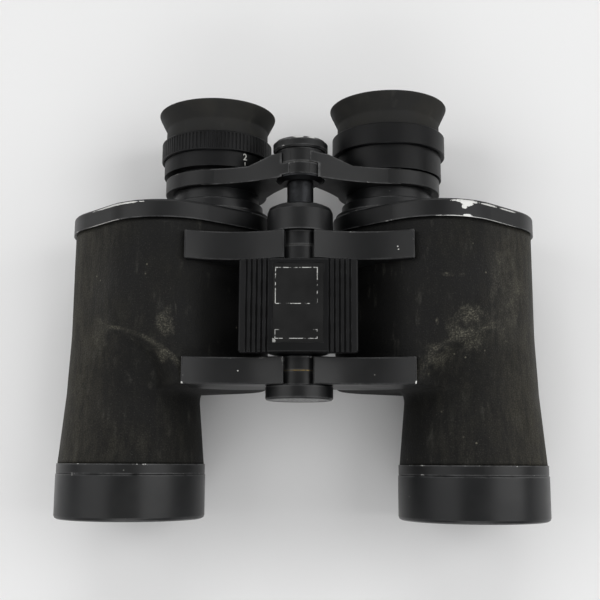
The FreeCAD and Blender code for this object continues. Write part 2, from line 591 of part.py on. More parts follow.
def focus_rod():
    """Rod that carries the bridge: shoulder below the knuckles, end inside the axle."""
    rod = cylinder(0, HINGE_Z, ROD_RADIUS, ROD_FRONT, BRIDGE_KNUCKLE_BACK)
    shoulder = turned(0, HINGE_Z, [(0, BRIDGE_FLANGE_FRONT), (6.4, BRIDGE_FLANGE_FRONT),
                                   (BRIDGE_KNUCKLE_RADIUS, BRIDGE_FLANGE_FRONT + 1.1),
                                   (BRIDGE_KNUCKLE_RADIUS, BRIDGE_FRONT + 0.5), (0, BRIDGE_FRONT + 0.5)])
    pin_hole = bar_across(DRIVE_PIN_RADIUS, 10.0, DRIVE_PIN_Y)
    screw_front = BRIDGE_KNUCKLE_BACK - CAP_SCREW_LENGTH
    screw_hole = cylinder(0, HINGE_Z, CAP_SCREW_RADIUS, screw_front, BRIDGE_KNUCKLE_BACK)
    return fuse_all([rod, shoulder]).cut(pin_hole).cut(screw_hole)


def bar_across(radius, half_length, y):
    """Round bar along X through the hinge axis."""
    return Part.makeCylinder(radius, 2 * half_length, Vector(-half_length, y, HINGE_Z), Vector(1, 0, 0))


def drive_pin():
    return bar_across(DRIVE_PIN_RADIUS, ROCKER_SLEEVE_RADIUS - 0.4, DRIVE_PIN_Y)


def bridge_washer():
    front, back = BRIDGE_SPLIT - WASHER / 2, BRIDGE_SPLIT + WASHER / 2
    return tube(0, HINGE_Z, BRIDGE_KNUCKLE_RADIUS, ROD_RADIUS, front, back)


def bridge_cap():
    """Flat-headed cap screw that holds both bridge knuckles on the rod."""
    front = BRIDGE_KNUCKLE_BACK + 0.1
    head = turned(0, HINGE_Z, [(0, front), (BRIDGE_CAP_RADIUS - 0.5, front), (BRIDGE_CAP_RADIUS, front + 0.5),
                               (BRIDGE_CAP_RADIUS, BRIDGE_CAP_BACK - 0.9),
                               (BRIDGE_CAP_RADIUS - 0.9, BRIDGE_CAP_BACK), (0, BRIDGE_CAP_BACK)])
    shank = cylinder(0, HINGE_Z, CAP_SCREW_RADIUS, BRIDGE_KNUCKLE_BACK - CAP_SCREW_LENGTH, front)
    slot_half, slot_depth, slot_reach = 0.6, 0.8, 7.0
    slot = box(-slot_reach, slot_reach, BRIDGE_CAP_BACK - slot_depth, BRIDGE_CAP_BACK + 1,
               HINGE_Z - slot_half, HINGE_Z + slot_half)
    return head.fuse(shank).cut(slot).removeSplitter()


def cam_slot():
    """Path of the drive pin through the rocker's sleeve over the whole focus travel."""
    steps = 12
    radius = DRIVE_PIN_RADIUS + DRIVE_PIN_GAP
    cuts = []
    for step in range(-steps, steps + 1):
        share = step / steps
        pin = bar_across(radius, 12.0, DRIVE_PIN_Y + share * FOCUS_TRAVEL)
        pin.rotate(Vector(0, 0, HINGE_Z), Vector(0, 1, 0), share * ROCKER_TRAVEL_DEG)
        cuts.append(pin)
    return fuse_all(cuts)


def focus_rocker():
    """Lever plate on a sleeve that turns on the hinge axle."""
    y0, y1 = ROCKER_FRONT, ROCKER_BACK
    half, top, bottom = ROCKER_HALF_WIDTH, ROCKER_TOP, ROCKER_WING_BOTTOM
    edge_top = top - ROCKER_EDGE_DROP
    right_side = [(ROCKER_FLAT_HALF, top), (half, edge_top), (half, bottom + 1.0), (half - 0.8, bottom),
                  (STEM_TOP_HALF, bottom - 0.8), (STEM_FOOT_HALF, STEM_FOOT_Z)]
    left_side = [(-x, z) for x, z in reversed(right_side)]
    points = [point(x, z, y0) for x, z in right_side + left_side]
    plate = Part.Face(Part.makePolygon(points + [points[0]])).extrude(Vector(0, y1 - y0, 0))
    rim_edges = [e for e in plate.Edges if e.BoundBox.ZMax > bottom - 1 and e.BoundBox.YLength < 0.01]
    side_edges = [e for e in plate.Edges if e.BoundBox.YLength > 1 and abs(e.BoundBox.XMax) > half - 0.01
                  and e.BoundBox.ZMax > edge_top - 0.01]
    plate = plate.makeFillet(ROCKER_EDGE_ROUND, rim_edges + side_edges)
    for index in range(GROOVE_COUNT):
        for sign in (-1, 1):
            x = sign * (GROOVE_FIRST_X + GROOVE_PITCH * index)
            x0, x1 = x - GROOVE_HALF_WIDTH, x + GROOVE_HALF_WIDTH
            plate = plate.cut(box(x0, x1, y0 - 1, y1 + 1, top - GROOVE_DEPTH, top + 1))
    recess = box(-NAMEPLATE_HALF_WIDTH, NAMEPLATE_HALF_WIDTH, NAMEPLATE_FRONT, NAMEPLATE_BACK,
                 top - NAMEPLATE_DEPTH, top + 1)
    sleeve = cylinder(0, HINGE_Z, ROCKER_SLEEVE_RADIUS, SLEEVE_FRONT, y1)
    rocker = fuse_all([plate.cut(recess), sleeve])
    rocker = rocker.cut(cylinder(0, HINGE_Z, AXLE_RADIUS + RUNNING_GAP, y0 - 1, y1 + 1))
    return rocker.cut(cam_slot())


def rocker_nameplate():
    gap = 0.05
    return box(-NAMEPLATE_HALF_WIDTH + gap, NAMEPLATE_HALF_WIDTH - gap, NAMEPLATE_FRONT + gap,
               NAMEPLATE_BACK - gap, ROCKER_TOP - NAMEPLATE_DEPTH, ROCKER_TOP - 0.25)


# ================================================================ assembly
def half_nodes(side):
    """Pieces of one half, modelled on the left side."""
    is_left = side == "left"
    objective, between, eyepiece = beam_points()
    rear_prism, rear_clip = prism_pieces(objective, between, SHELF_BACK, 1)
    front_prism, front_clip = prism_pieces(between, eyepiece, SHELF_FRONT, -1)
    crown, flint, retainer = objective_lenses()
    x, z = EYEPIECE_X, EYEPIECE_Z
    flange_front = FLANGE_FRONT[side]
    lens_front, lens_back = flange_front + 1.0, flange_front + 4.2
    return {
        "body_casting": body_casting(is_left),
        "leatherette": leatherette(is_left),
        "prism_cover": prism_cover(),
        "cover_screws": Part.Compound(cover_screw_list()),
        "prism_shelf": prism_shelf(),
        "rear_prism": rear_prism,
        "front_prism": front_prism,
        "prism_clips": Part.Compound([rear_clip, front_clip]),
        "objective_cap": objective_cap(),
        "objective_cell": objective_cell(),
        "objective_crown_lens": crown,
        "objective_flint_lens": flint,
        "objective_retainer": retainer,
        "guide_tube": guide_tube(),
        "bridge_arm": bridge_arm(is_left),
        "eyepiece_barrel": tube(x, z, BARREL_RADIUS, BARREL_BORE, BARREL_FRONT, BARREL_BACK[side]),
        "field_lens": lens(x, z, BARREL_BORE, BARREL_FRONT + 4.0, BARREL_FRONT + 6.5, 1.6, 0.05),
        "ocular_cell": ocular_cell(flange_front),
        "eye_lens": lens(x, z, EYE_LENS_RADIUS, lens_front, lens_back, 1.4, 0.05),
        "eyecup": eyecup(flange_front + CELL_FLANGE, EYECUP_BAND_END[side], EYECUP_RIM[side]),
    }


def build_nodes():
    nodes = {}
    for side in ("left", "right"):
        for name, shape in half_nodes(side).items():
            nodes[side + "_" + name] = shape if side == "left" else mirrored(shape)
    scale, grip = right_eyepiece_rings()
    spacer, collar = left_eyepiece_rings()
    nodes["diopter_scale_ring"] = mirrored(scale)
    nodes["diopter_grip_ring"] = mirrored(grip)
    nodes["left_spacer_ring"] = spacer
    nodes["left_ocular_collar"] = collar
    nodes["hinge_axle"] = hinge_axle()
    nodes["hinge_washers"] = Part.Compound(hinge_washers())
    nodes["hub_nut"] = hub_nut()
    nodes["front_cap"] = front_cap()
    nodes["front_badge"] = front_badge()
    nodes["focus_rod"] = focus_rod()
    nodes["drive_pin"] = drive_pin()
    nodes["bridge_washer"] = bridge_washer()
    nodes["bridge_cap"] = bridge_cap()
    nodes["focus_rocker"] = focus_rocker()
    nodes["rocker_nameplate"] = rocker_nameplate()
    return nodes


for node_name, node_shape in build_nodes().items():
    node_shape.exportStep("parts/" + node_name + ".step")
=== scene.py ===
"""Looks for the Porro-prism binoculars: materials, soft covering, rubber, marks, light and camera.

Everything is in metres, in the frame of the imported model: +X to the user's left half, +Y towards
the eyepieces, +Z up through the focus lever, and z = 0 on the table.
"""
import json
import math

import bmesh
import bpy
import numpy as np
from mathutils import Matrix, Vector


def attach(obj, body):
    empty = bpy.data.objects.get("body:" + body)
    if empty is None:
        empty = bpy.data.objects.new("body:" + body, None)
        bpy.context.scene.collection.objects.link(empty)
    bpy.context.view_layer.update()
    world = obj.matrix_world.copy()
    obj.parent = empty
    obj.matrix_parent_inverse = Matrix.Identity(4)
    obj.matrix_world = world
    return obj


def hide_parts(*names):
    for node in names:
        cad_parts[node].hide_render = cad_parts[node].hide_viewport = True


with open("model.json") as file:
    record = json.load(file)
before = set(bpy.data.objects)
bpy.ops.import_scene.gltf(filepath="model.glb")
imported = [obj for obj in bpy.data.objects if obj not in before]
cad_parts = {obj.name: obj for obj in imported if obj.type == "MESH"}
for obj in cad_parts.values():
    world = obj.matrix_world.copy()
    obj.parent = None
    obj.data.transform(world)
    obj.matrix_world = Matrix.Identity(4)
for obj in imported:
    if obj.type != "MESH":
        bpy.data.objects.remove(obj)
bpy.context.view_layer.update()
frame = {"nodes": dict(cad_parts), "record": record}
nodes = frame["nodes"]

# ---------------------------------------------------------------- camera, fitted to the view
CAMERA_PLACE = (0.0104, -0.05435, 0.3669)
CAMERA_TILT_DEG = (9.63, 1.84, -0.01)
CAMERA_LENS = 57.47
SENSOR_WIDTH = 36.0

# ---------------------------------------------------------------- axes and outline of the body
OBJECTIVE = (0.0599, 0.026)
EYEPIECE = (0.0314, 0.0288)
COVER_CIRCLES = [
    (0.0599, 0.0260, 0.0232),
    (0.0470, 0.0360, 0.0248),
    (0.0314, 0.0288, 0.0202),
    (0.0470, 0.0230, 0.0230),
]
LEATHER_INSET = 0.0008
LEATHER_THICKNESS = 0.0007
FLANGE_BACK = -0.05505
CONE_BACK = -0.0310
BLOCK_FRONT = -0.0295
SHOULDER_BACK = -0.0100
HOUSING_BACK = 0.0257
CONE_FRONT_RADIUS = 0.0254
CONE_BACK_RADIUS = 0.0233
ARCH_X = 0.0800
ARCH_HALF_X = 0.0410
ARCH_HALF_Y = 0.0200
CREASE_WIDTH = 0.0026
SHELF_ROUND = 0.0018
CONE_BLEND_BEFORE = 0.0030
SHOULDER_BLEND_PAST = 0.0020
SMOOTH_SHARE = 0.55
OUTLINE_STEP = 0.0004
STEPS_AROUND = 288
CONE_ROWS, SHELF_ROWS, SHOULDER_ROWS, HOUSING_ROWS = 20, 9, 40, 20
SAME_POINT = 0.000002

# ---------------------------------------------------------------- lights: name, place, size, energy
LIGHTS = [
    ("left_box", (-0.85, 0.15, 0.80), (0.60, 1.0), 3.25),
    ("right_box", (0.85, 0.10, 0.80), (0.60, 1.0), 4.8),
    ("back_box", (0.0, 0.95, 0.85), (1.0, 0.5), 4.5),
    ("front_box", (0.0, -0.95, 0.75), (0.9, 0.5), 3.4),
]
LIGHT_TARGET = (0, 0, 0.02)
ROOM_LIGHT = 0.42
FLOOR_HALF = 4.0


# ================================================================ shader helpers
class Shader:
    """A material under construction, with short calls for the nodes that it uses."""

    def __init__(self, name):
        self.material = bpy.data.materials.new(name)
        self.material.use_nodes = True
        self.tree = self.material.node_tree
        self.surface = self.tree.nodes["Principled BSDF"]
        self.output = self.tree.nodes["Material Output"]
        self.place = self.add("ShaderNodeTexCoord").outputs["Object"]

    def add(self, kind, **settings):
        node = self.tree.nodes.new(kind)
        for key, value in settings.items():
            setattr(node, key, value)
        return node

    def link(self, source, target):
        self.tree.links.new(source, target)

    def put(self, value, target):
        """Sets a socket to a constant or links it."""
        if isinstance(value, bpy.types.NodeSocket):
            self.link(value, target)
        else:
            target.default_value = value

    def scaled(self, scale):
        """Object coordinates stretched by a scale per axis."""
        mapping = self.add("ShaderNodeMapping")
        mapping.inputs["Scale"].default_value = scale
        self.link(self.place, mapping.inputs["Vector"])
        return mapping.outputs["Vector"]

    def noise(self, scale, detail=3.0, roughness=0.55, place=None):
        node = self.add("ShaderNodeTexNoise")
        node.inputs["Scale"].default_value = scale
        node.inputs["Detail"].default_value = detail
        node.inputs["Roughness"].default_value = roughness
        self.link(place or self.place, node.inputs["Vector"])
        return node.outputs["Fac"]

    def cells(self, scale, feature="F1"):
        node = self.add("ShaderNodeTexVoronoi", feature=feature)
        node.inputs["Scale"].default_value = scale
        self.link(self.place, node.inputs["Vector"])
        return node.outputs["Distance"]

    def ramp(self, value, low, high, out_low=0.0, out_high=1.0):
        """Maps low..high to out_low..out_high, held at both ends."""
        node = self.add("ShaderNodeMapRange", interpolation_type="SMOOTHSTEP")
        node.inputs["From Min"].default_value = low
        node.inputs["From Max"].default_value = high
        node.inputs["To Min"].default_value = out_low
        node.inputs["To Max"].default_value = out_high
        self.put(value, node.inputs["Value"])
        return node.outputs["Result"]

    def math(self, operation, a, b=0.0):
        node = self.add("ShaderNodeMath", operation=operation)
        self.put(a, node.inputs[0])
        self.put(b, node.inputs[1])
        return node.outputs["Value"]

    def mix(self, factor, a, b):
        """Mixes two colours."""
        node = self.add("ShaderNodeMix", data_type="RGBA")
        self.put(factor, node.inputs[0])
        self.put(a, node.inputs[6])
        self.put(b, node.inputs[7])
        return node.outputs[2]

    def blend(self, factor, a, b):
        """Mixes two numbers."""
        node = self.add("ShaderNodeMix", data_type="FLOAT")
        self.put(factor, node.inputs[0])
        self.put(a, node.inputs[2])
        self.put(b, node.inputs[3])
        return node.outputs[0]

    def axes(self):
        """Object coordinates as three numbers."""
        node = self.add("ShaderNodeSeparateXYZ")
        self.link(self.place, node.inputs[0])
        return node.outputs

    def upward(self):
        """Upward share of the surface direction."""
        node = self.add("ShaderNodeSeparateXYZ")
        self.link(self.add("ShaderNodeTexCoord").outputs["Normal"], node.inputs[0])
        return node.outputs["Z"]

    def bump(self, height, distance, strength, normal=None):
        node = self.add("ShaderNodeBump")
        node.inputs["Strength"].default_value = strength
        node.inputs["Distance"].default_value = distance
        self.put(height, node.inputs["Height"])
        if normal is not None:
            self.link(normal, node.inputs["Normal"])
        return node.outputs["Normal"]

    def edges(self, radius):
        """1 on sharp edges and 0 on flat faces."""
        bevel = self.add("ShaderNodeBevel", samples=6)
        bevel.inputs["Radius"].default_value = radius
        plain = self.add("ShaderNodeNewGeometry")
        dot = self.add("ShaderNodeVectorMath", operation="DOT_PRODUCT")
        self.link(bevel.outputs["Normal"], dot.inputs[0])
        self.link(plain.outputs["Normal"], dot.inputs[1])
        return self.math("SUBTRACT", 1.0, dot.outputs["Value"])

    def finish(self, colour, roughness, normal=None, **constants):
        self.put(colour, self.surface.inputs["Base Color"])
        self.put(roughness, self.surface.inputs["Roughness"])
        if normal is not None:
            self.link(normal, self.surface.inputs["Normal"])
        for name, value in constants.items():
            self.surface.inputs[name.replace("_", " ")].default_value = value
        return self.material


def rgba(red, green, blue):
    return (red, green, blue, 1.0)


BARE_METAL = rgba(0.62, 0.62, 0.60)
UPPER_SIDE = (0.044, 0.046)
COVERING_UPPER_SIDE = (0.030, 0.040)


# ================================================================ materials
def ellipse_patch(s, x, y, centre, half):
    """1 inside an ellipse in plan, falling to 0 at its rim."""
    across = s.math("DIVIDE", s.math("SUBTRACT", x, centre[0]), half[0])
    along = s.math("DIVIDE", s.math("SUBTRACT", y, centre[1]), half[1])
    square = s.math("ADD", s.math("MULTIPLY", across, across), s.math("MULTIPLY", along, along))
    return s.ramp(square, 1.0, 0.15)


def highest(s, values):
    """The largest of several masks."""
    total = values[0]
    for value in values[1:]:
        total = s.math("MAXIMUM", total, value)
    return total


# Chips in the paint, as (x, y) centre and half sizes in plan, on the upper side of the object.
PAINT_CHIPS = [
    ((0.0548, 0.0309), (0.0056, 0.0007)),
    ((0.0553, 0.0301), (0.0026, 0.0013)),
    ((0.0544, 0.0290), (0.0012, 0.0009)),
    ((0.0636, 0.0308), (0.0040, 0.0004)),
    ((0.0710, 0.0308), (0.0050, 0.0003)),
    ((0.0553, 0.0260), (0.0020, 0.0007)),
    ((0.0520, 0.0257), (0.0090, 0.0003)),
    ((0.0640, 0.0257), (0.0140, 0.0002)),
    ((-0.0620, 0.0310), (0.0130, 0.0004)),
    ((-0.0680, 0.0257), (0.0100, 0.0002)),
    ((-0.0375, -0.0294), (0.0004, 0.0006)),
    ((0.0377, -0.0293), (0.0005, 0.0010)),
    ((0.0324, 0.0158), (0.0003, 0.0003)),
    ((0.0326, 0.0148), (0.0003, 0.0003)),
    ((-0.0198, -0.0251), (0.0003, 0.0003)),
    ((-0.0005, 0.0535), (0.0022, 0.0005)),
    ((0.0038, 0.0535), (0.0018, 0.0004)),
]


def placed_chips(s, x, y, z):
    """The chips listed above, with ragged edges, on faces that look up."""
    placed = highest(s, [ellipse_patch(s, x, y, centre, half) for centre, half in PAINT_CHIPS])
    ragged = s.math("MULTIPLY", s.math("SUBTRACT", s.noise(900, 5, 0.75), 0.5), 3.6)
    chipped = s.ramp(s.math("ADD", placed, ragged), 0.42, 0.56)
    placed = s.math("MULTIPLY", chipped, s.ramp(placed, 0.02, 0.12))
    placed = s.math("MULTIPLY", placed, s.ramp(s.upward(), 0.35, 0.55))
    return s.math("MULTIPLY", placed, s.ramp(z, *UPPER_SIDE))


def painted_metal(name, base, gloss, chip_share):
    """Semi-gloss black paint: faint orange peel, dust specks, light metal where edges are worn, and paler
    edges that are partly rubbed paint and partly a painted edge highlight.
    """
    s = Shader(name)
    x, y, z = s.axes()
    broad = s.noise(60, 4)
    edge = s.edges(0.0008)
    worn_through = s.ramp(s.noise(260, 5, 0.7), 0.64 - chip_share, 0.70 - chip_share)
    bright = s.math("MULTIPLY", s.ramp(edge, 0.02, 0.08), worn_through)
    # Paler edges: partly rubbed paint, partly a painted highlight along the edges.
    edge_rub_and_highlight = s.math("MULTIPLY", s.ramp(edge, 0.004, 0.06), s.ramp(s.noise(160, 5, 0.7), 0.36, 0.58))
    chip = s.math("MAXIMUM", bright, placed_chips(s, x, y, z))
    specks = s.math("MULTIPLY", s.ramp(s.cells(330), 0.085, 0.05), s.ramp(s.noise(90, 2), 0.60, 0.66))
    haze = s.math("MULTIPLY", s.ramp(s.noise(26, 5), 0.5, 0.8), 0.12)
    paint = s.mix(s.ramp(broad, 0.35, 0.7), rgba(*base), rgba(*[c * 1.5 for c in base]))
    # Paler grey on the edges: rubbed paint and painted edge highlight.
    paint = s.mix(s.math("MULTIPLY", edge_rub_and_highlight, 0.6), paint, rgba(0.110, 0.111, 0.112))
    paint = s.mix(haze, paint, rgba(0.07, 0.07, 0.065))
    paint = s.mix(s.math("MULTIPLY", specks, 0.6), paint, rgba(0.34, 0.34, 0.32))
    colour = s.mix(chip, paint, BARE_METAL)
    roughness = s.blend(chip, s.ramp(broad, 0.2, 0.8, gloss, gloss + 0.14), 0.45)
    normal = s.bump(s.noise(2400, 2), 0.00003, 0.35)
    normal = s.bump(chip, 0.00008, 0.6, normal)
    s.put(s.math("MULTIPLY", chip, 0.5), s.surface.inputs["Metallic"])
    return s.finish(colour, roughness, normal, Specular_IOR_Level=0.30)


# Scuffs in the covering, as (x, y) centre, half sizes and strength.
COVERING_SCUFFS = [
    ((0.0560, -0.0105), (0.0110, 0.0100), 0.62),
    ((0.0450, -0.0200), (0.0070, 0.0060), 0.45),
    ((0.0400, -0.0256), (0.0042, 0.0040), 0.50),
    ((0.0447, -0.0092), (0.0008, 0.0018), 0.60),
    ((0.0500, 0.0063), (0.0055, 0.0012), 0.45),
    ((0.0690, 0.0020), (0.0090, 0.0230), 0.36),
    ((-0.0432, -0.0100), (0.0048, 0.0070), 0.50),
    ((-0.0444, -0.0198), (0.0036, 0.0034), 0.60),
    ((-0.0665, -0.0110), (0.0065, 0.0080), 0.30),
]


def leatherette():
    """Pebbled covering, greyed and turned brown by handling, with worn places that show the pale backing;
    darkest near the hinge as painted shade, lighter and browner at the far sides partly as painted sheen, and
    darker in the crevices between pebbles as painted shade.
    """
    s = Shader("leatherette")
    x, y, z = s.axes()
    long_place = s.scaled((1.0, 0.22, 1.0))
    pebble = s.cells(1350)
    pebble_crease_shade = s.cells(1350, "DISTANCE_TO_EDGE")
    streaks = s.noise(420, 4, 0.65, long_place)
    clouds = s.noise(34, 5, 0.6)
    # Lighter and browner towards the far sides: partly browning of the covering, partly painted sheen where
    # the sides turn away.
    outer_sheen_and_browning = s.ramp(s.math("ABSOLUTE", x), 0.056, 0.081)
    dark = rgba(0.0034, 0.0034, 0.0032)
    dusty = rgba(0.0190, 0.0182, 0.0142)
    browned_and_sheen = rgba(0.0560, 0.0510, 0.0370)
    dust = s.math("MULTIPLY", s.ramp(clouds, 0.36, 0.72), s.ramp(streaks, 0.34, 0.66, 0.25, 1.0))
    # Within |x| of 0.026 to 0.046 the covering keeps its darkest colour, with no dust or salt: painted shade
    # in the hollow between the hinge arms.
    inner = s.ramp(s.math("ABSOLUTE", x), 0.026, 0.046)
    colour = s.mix(s.math("MULTIPLY", dust, inner), dark, dusty)
    # Painted sheen and browning towards the far sides.
    colour = s.mix(s.math("MULTIPLY", outer_sheen_and_browning, s.ramp(streaks, 0.30, 0.70, 0.25, 0.75)), colour, browned_and_sheen)
    marks = s.math("MULTIPLY", s.ramp(streaks, 0.55, 0.72), s.ramp(s.noise(150, 3), 0.42, 0.60))
    colour = s.mix(s.math("MULTIPLY", marks, 0.6), colour, rgba(0.044, 0.043, 0.037))
    salt = s.math("MULTIPLY", s.ramp(s.noise(2600, 2), 0.58, 0.72), inner)
    colour = s.mix(s.math("MULTIPLY", salt, 0.4), colour, rgba(0.060, 0.058, 0.050))
    # Darker in the crevices between pebbles: painted shade in the grain.
    colour = s.mix(s.math("MULTIPLY", s.ramp(pebble_crease_shade, 0.14, 0.02), 0.6), colour, rgba(0.0025, 0.0025, 0.0025))
    # Worn places, and the pale line along the shoulder crease, which is partly a painted highlight.
    colour = s.mix(scuffs_and_crease_highlight(s, x, y, z), colour, rgba(0.185, 0.175, 0.135))
    roughness = s.ramp(clouds, 0.3, 0.7, 0.58, 0.78)
    height = s.blend(0.7, streaks, s.ramp(pebble, 0.0, 0.6, 1.0, 0.0))
    return s.finish(colour, roughness, s.bump(height, 0.00012, 0.9), Specular_IOR_Level=0.19)


def scuffs_and_crease_highlight(s, x, y, z):
    """Worn places on the covering, and a pale speckled line along the crease of the shoulder that is partly
    wear and partly a painted highlight on the crease.
    """
    ragged = s.math("MULTIPLY", s.math("SUBTRACT", s.noise(170, 6, 0.72), 0.5), 5.0)
    patches = []
    for centre, half, strength in COVERING_SCUFFS:
        mask = ellipse_patch(s, x, y, centre, half)
        patch = s.ramp(s.math("ADD", mask, ragged), 0.35, 1.6)
        patch = s.math("MULTIPLY", patch, s.ramp(mask, 0.0, 0.6))
        patches.append(s.math("MULTIPLY", patch, strength))
    grain = s.ramp(s.noise(1900, 3, 0.7), 0.46, 0.66, 0.12, 0.9)
    # Pale speckled line along the arch of the shoulder crease: partly wear, partly a painted highlight on the
    # crease.
    flat_x = s.math("DIVIDE", s.math("SUBTRACT", ARCH_X, s.math("ABSOLUTE", x)), ARCH_HALF_X)
    flat_y = s.math("DIVIDE", s.math("SUBTRACT", y, BLOCK_FRONT), ARCH_HALF_Y)
    square = s.math("ADD", s.math("MULTIPLY", flat_x, flat_x), s.math("MULTIPLY", flat_y, flat_y))
    line = s.ramp(s.math("ABSOLUTE", s.math("SUBTRACT", square, 1.10)), 0.09, 0.02)
    line = s.math("MULTIPLY", line, s.ramp(flat_x, 0.25, 0.45))
    line = s.math("MULTIPLY", line, s.ramp(y, BLOCK_FRONT + 0.0006, BLOCK_FRONT + 0.0016))
    line = s.math("MULTIPLY", line, s.ramp(s.noise(130, 3), 0.40, 0.62, 0.1, 0.5))
    spots = s.math("MULTIPLY", s.ramp(s.cells(260), 0.11, 0.06), s.ramp(s.noise(60, 2), 0.58, 0.66, 0.0, 0.5))
    total = highest(s, patches + [line])
    total = s.math("MAXIMUM", s.math("MULTIPLY", total, grain), spots)
    return s.math("MULTIPLY", total, s.ramp(z, *COVERING_UPPER_SIDE))


def rubber(name):
    """Matte eyecup rubber with a dusty bloom and pale abrasions."""
    s = Shader(name)
    clouds = s.noise(75, 5, 0.6)
    smears = s.noise(210, 4, 0.65, s.scaled((1.0, 0.45, 1.0)))
    colour = s.mix(s.ramp(clouds, 0.35, 0.72), rgba(0.0072, 0.0072, 0.0066), rgba(0.0205, 0.0196, 0.0168))
    colour = s.mix(s.math("MULTIPLY", s.ramp(smears, 0.58, 0.78), 0.35), colour, rgba(0.046, 0.045, 0.039))
    specks = s.math("MULTIPLY", s.ramp(s.cells(240), 0.09, 0.05), s.ramp(s.noise(80, 2), 0.60, 0.66))
    colour = s.mix(s.math("MULTIPLY", specks, 0.5), colour, rgba(0.22, 0.20, 0.15))
    normal = s.bump(s.noise(3200, 2), 0.00003, 0.5)
    return s.finish(colour, s.ramp(clouds, 0.3, 0.7, 0.58, 0.80), normal, Specular_IOR_Level=0.26)


def moulded_plastic(name, base, gloss):
    """Satin moulded plastic with slightly polished, greyed edges, whose paler colour is partly wear and
    partly a painted edge highlight.
    """
    s = Shader(name)
    clouds = s.noise(70, 4)
    # Paler edges: partly wear, partly a painted highlight along the edges.
    edge_rub_and_highlight = s.math("MULTIPLY", s.ramp(s.edges(0.0003), 0.03, 0.22), s.ramp(s.noise(230, 4), 0.40, 0.66))
    colour = s.mix(s.ramp(clouds, 0.35, 0.7), rgba(*base), rgba(*[c * 1.5 for c in base]))
    # Paler grey on the edges, partly a painted edge highlight.
    colour = s.mix(s.math("MULTIPLY", edge_rub_and_highlight, 0.65), colour, rgba(0.062, 0.063, 0.065))
    specks = s.math("MULTIPLY", s.ramp(s.cells(330), 0.08, 0.05), s.ramp(s.noise(90, 2), 0.62, 0.68))
    colour = s.mix(s.math("MULTIPLY", specks, 0.5), colour, rgba(0.30, 0.30, 0.28))
    normal = s.bump(s.noise(3000, 2), 0.00002, 0.35)
    return s.finish(colour, s.ramp(clouds, 0.25, 0.75, gloss, gloss + 0.14), normal, Specular_IOR_Level=0.19)


def coated_glass():
    """Lens glass with a violet-blue coating, seen against the dark inside."""
    s = Shader("optical_glass")
    tint = s.ramp(s.noise(38, 2), 0.35, 0.7)
    colour = s.mix(tint, rgba(0.006, 0.007, 0.016), rgba(0.020, 0.012, 0.040))
    smudge = s.ramp(s.noise(160, 4), 0.50, 0.8)
    colour = s.mix(s.math("MULTIPLY", smudge, 0.08), colour, rgba(0.2, 0.2, 0.2))
    return s.finish(colour, s.blend(smudge, 0.03, 0.12), None, Coat_Weight=0.7, Coat_Roughness=0.02,
                    Coat_IOR=1.7)


def bare_metal(name, base, roughness):
    """Turned or drawn bare metal with fine lines and slight tarnish."""
    s = Shader(name)
    lines = s.noise(900, 2, 0.5, s.scaled((1.0, 0.05, 1.0)))
    tarnish = s.ramp(s.noise(240, 4), 0.4, 0.75)
    colour = s.mix(s.math("MULTIPLY", tarnish, 0.6), rgba(*base), rgba(*[c * 0.3 for c in base]))
    normal = s.bump(lines, 0.00001, 0.5)
    return s.finish(colour, s.blend(tarnish, roughness, roughness + 0.25), normal, Metallic=1.0)


def brass_washers():
    """Brass, bright and metallic at the front knuckles, darker and less metallic further back and in patches.
    """
    s = Shader("brass")
    y = s.axes()[1]
    # Darker and less metallic towards the back, from y = -0.010 on, and in random patches.
    darker_back_and_patches = s.math("MAXIMUM", s.ramp(y, -0.010, 0.0), s.ramp(s.noise(500, 3), 0.40, 0.62, 0.0, 0.8))
    colour = s.mix(darker_back_and_patches, rgba(0.20, 0.14, 0.052), rgba(0.012, 0.011, 0.009))
    s.put(s.math("SUBTRACT", 1.0, s.math("MULTIPLY", darker_back_and_patches, 0.7)), s.surface.inputs["Metallic"])
    return s.finish(colour, s.blend(darker_back_and_patches, 0.35, 0.6))


def frame_line(s, x, y, left, right, front, back, width):
    """1 on the outline of a rectangle in plan."""
    inside_x = s.math("MAXIMUM", s.math("SUBTRACT", left, x), s.math("SUBTRACT", x, right))
    inside_y = s.math("MAXIMUM", s.math("SUBTRACT", front, y), s.math("SUBTRACT", y, back))
    distance = s.math("ABSOLUTE", s.math("MAXIMUM", inside_x, inside_y))
    return s.ramp(distance, width, width * 0.6)


def nameplate():
    """Satin black plate with a worn white frame and no lettering."""
    s = Shader("nameplate_black")
    x, y, _ = s.axes()
    upper = frame_line(s, x, y, -0.0073, 0.0061, -0.0044, 0.0073, 0.00015)
    corner = s.ramp(s.math("ABSOLUTE", s.math("ADD", x, 0.0006)), 0.0052, 0.0058)
    kept = s.math("MAXIMUM", s.ramp(y, -0.0148, -0.0152), s.math("MULTIPLY", corner, 0.7))
    lower = s.math("MULTIPLY", frame_line(s, x, y, -0.0073, 0.0061, -0.0156, -0.0128, 0.00012), kept)
    worn = s.ramp(s.noise(520, 4, 0.7), 0.46, 0.55)
    lines = s.math("MULTIPLY", s.math("MAXIMUM", upper, lower), worn)
    lines = s.math("MULTIPLY", lines, 0.8)
    chip = s.ramp(s.math("ADD", ellipse_patch(s, x, y, (-0.0080, -0.0165), (0.0013, 0.0013)),
                         s.math("MULTIPLY", s.noise(700, 3), 0.6)), 0.85, 0.95)
    clouds = s.noise(90, 4)
    colour = s.mix(s.ramp(clouds, 0.3, 0.7), rgba(0.0055, 0.0055, 0.0055), rgba(0.0085, 0.0085, 0.0085))
    colour = s.mix(s.math("MAXIMUM", lines, s.math("MULTIPLY", chip, 0.5)), colour, BARE_METAL)
    return s.finish(colour, s.ramp(clouds, 0.3, 0.7, 0.34, 0.46), s.bump(lines, 0.00002, 0.5),
                    Specular_IOR_Level=0.21)


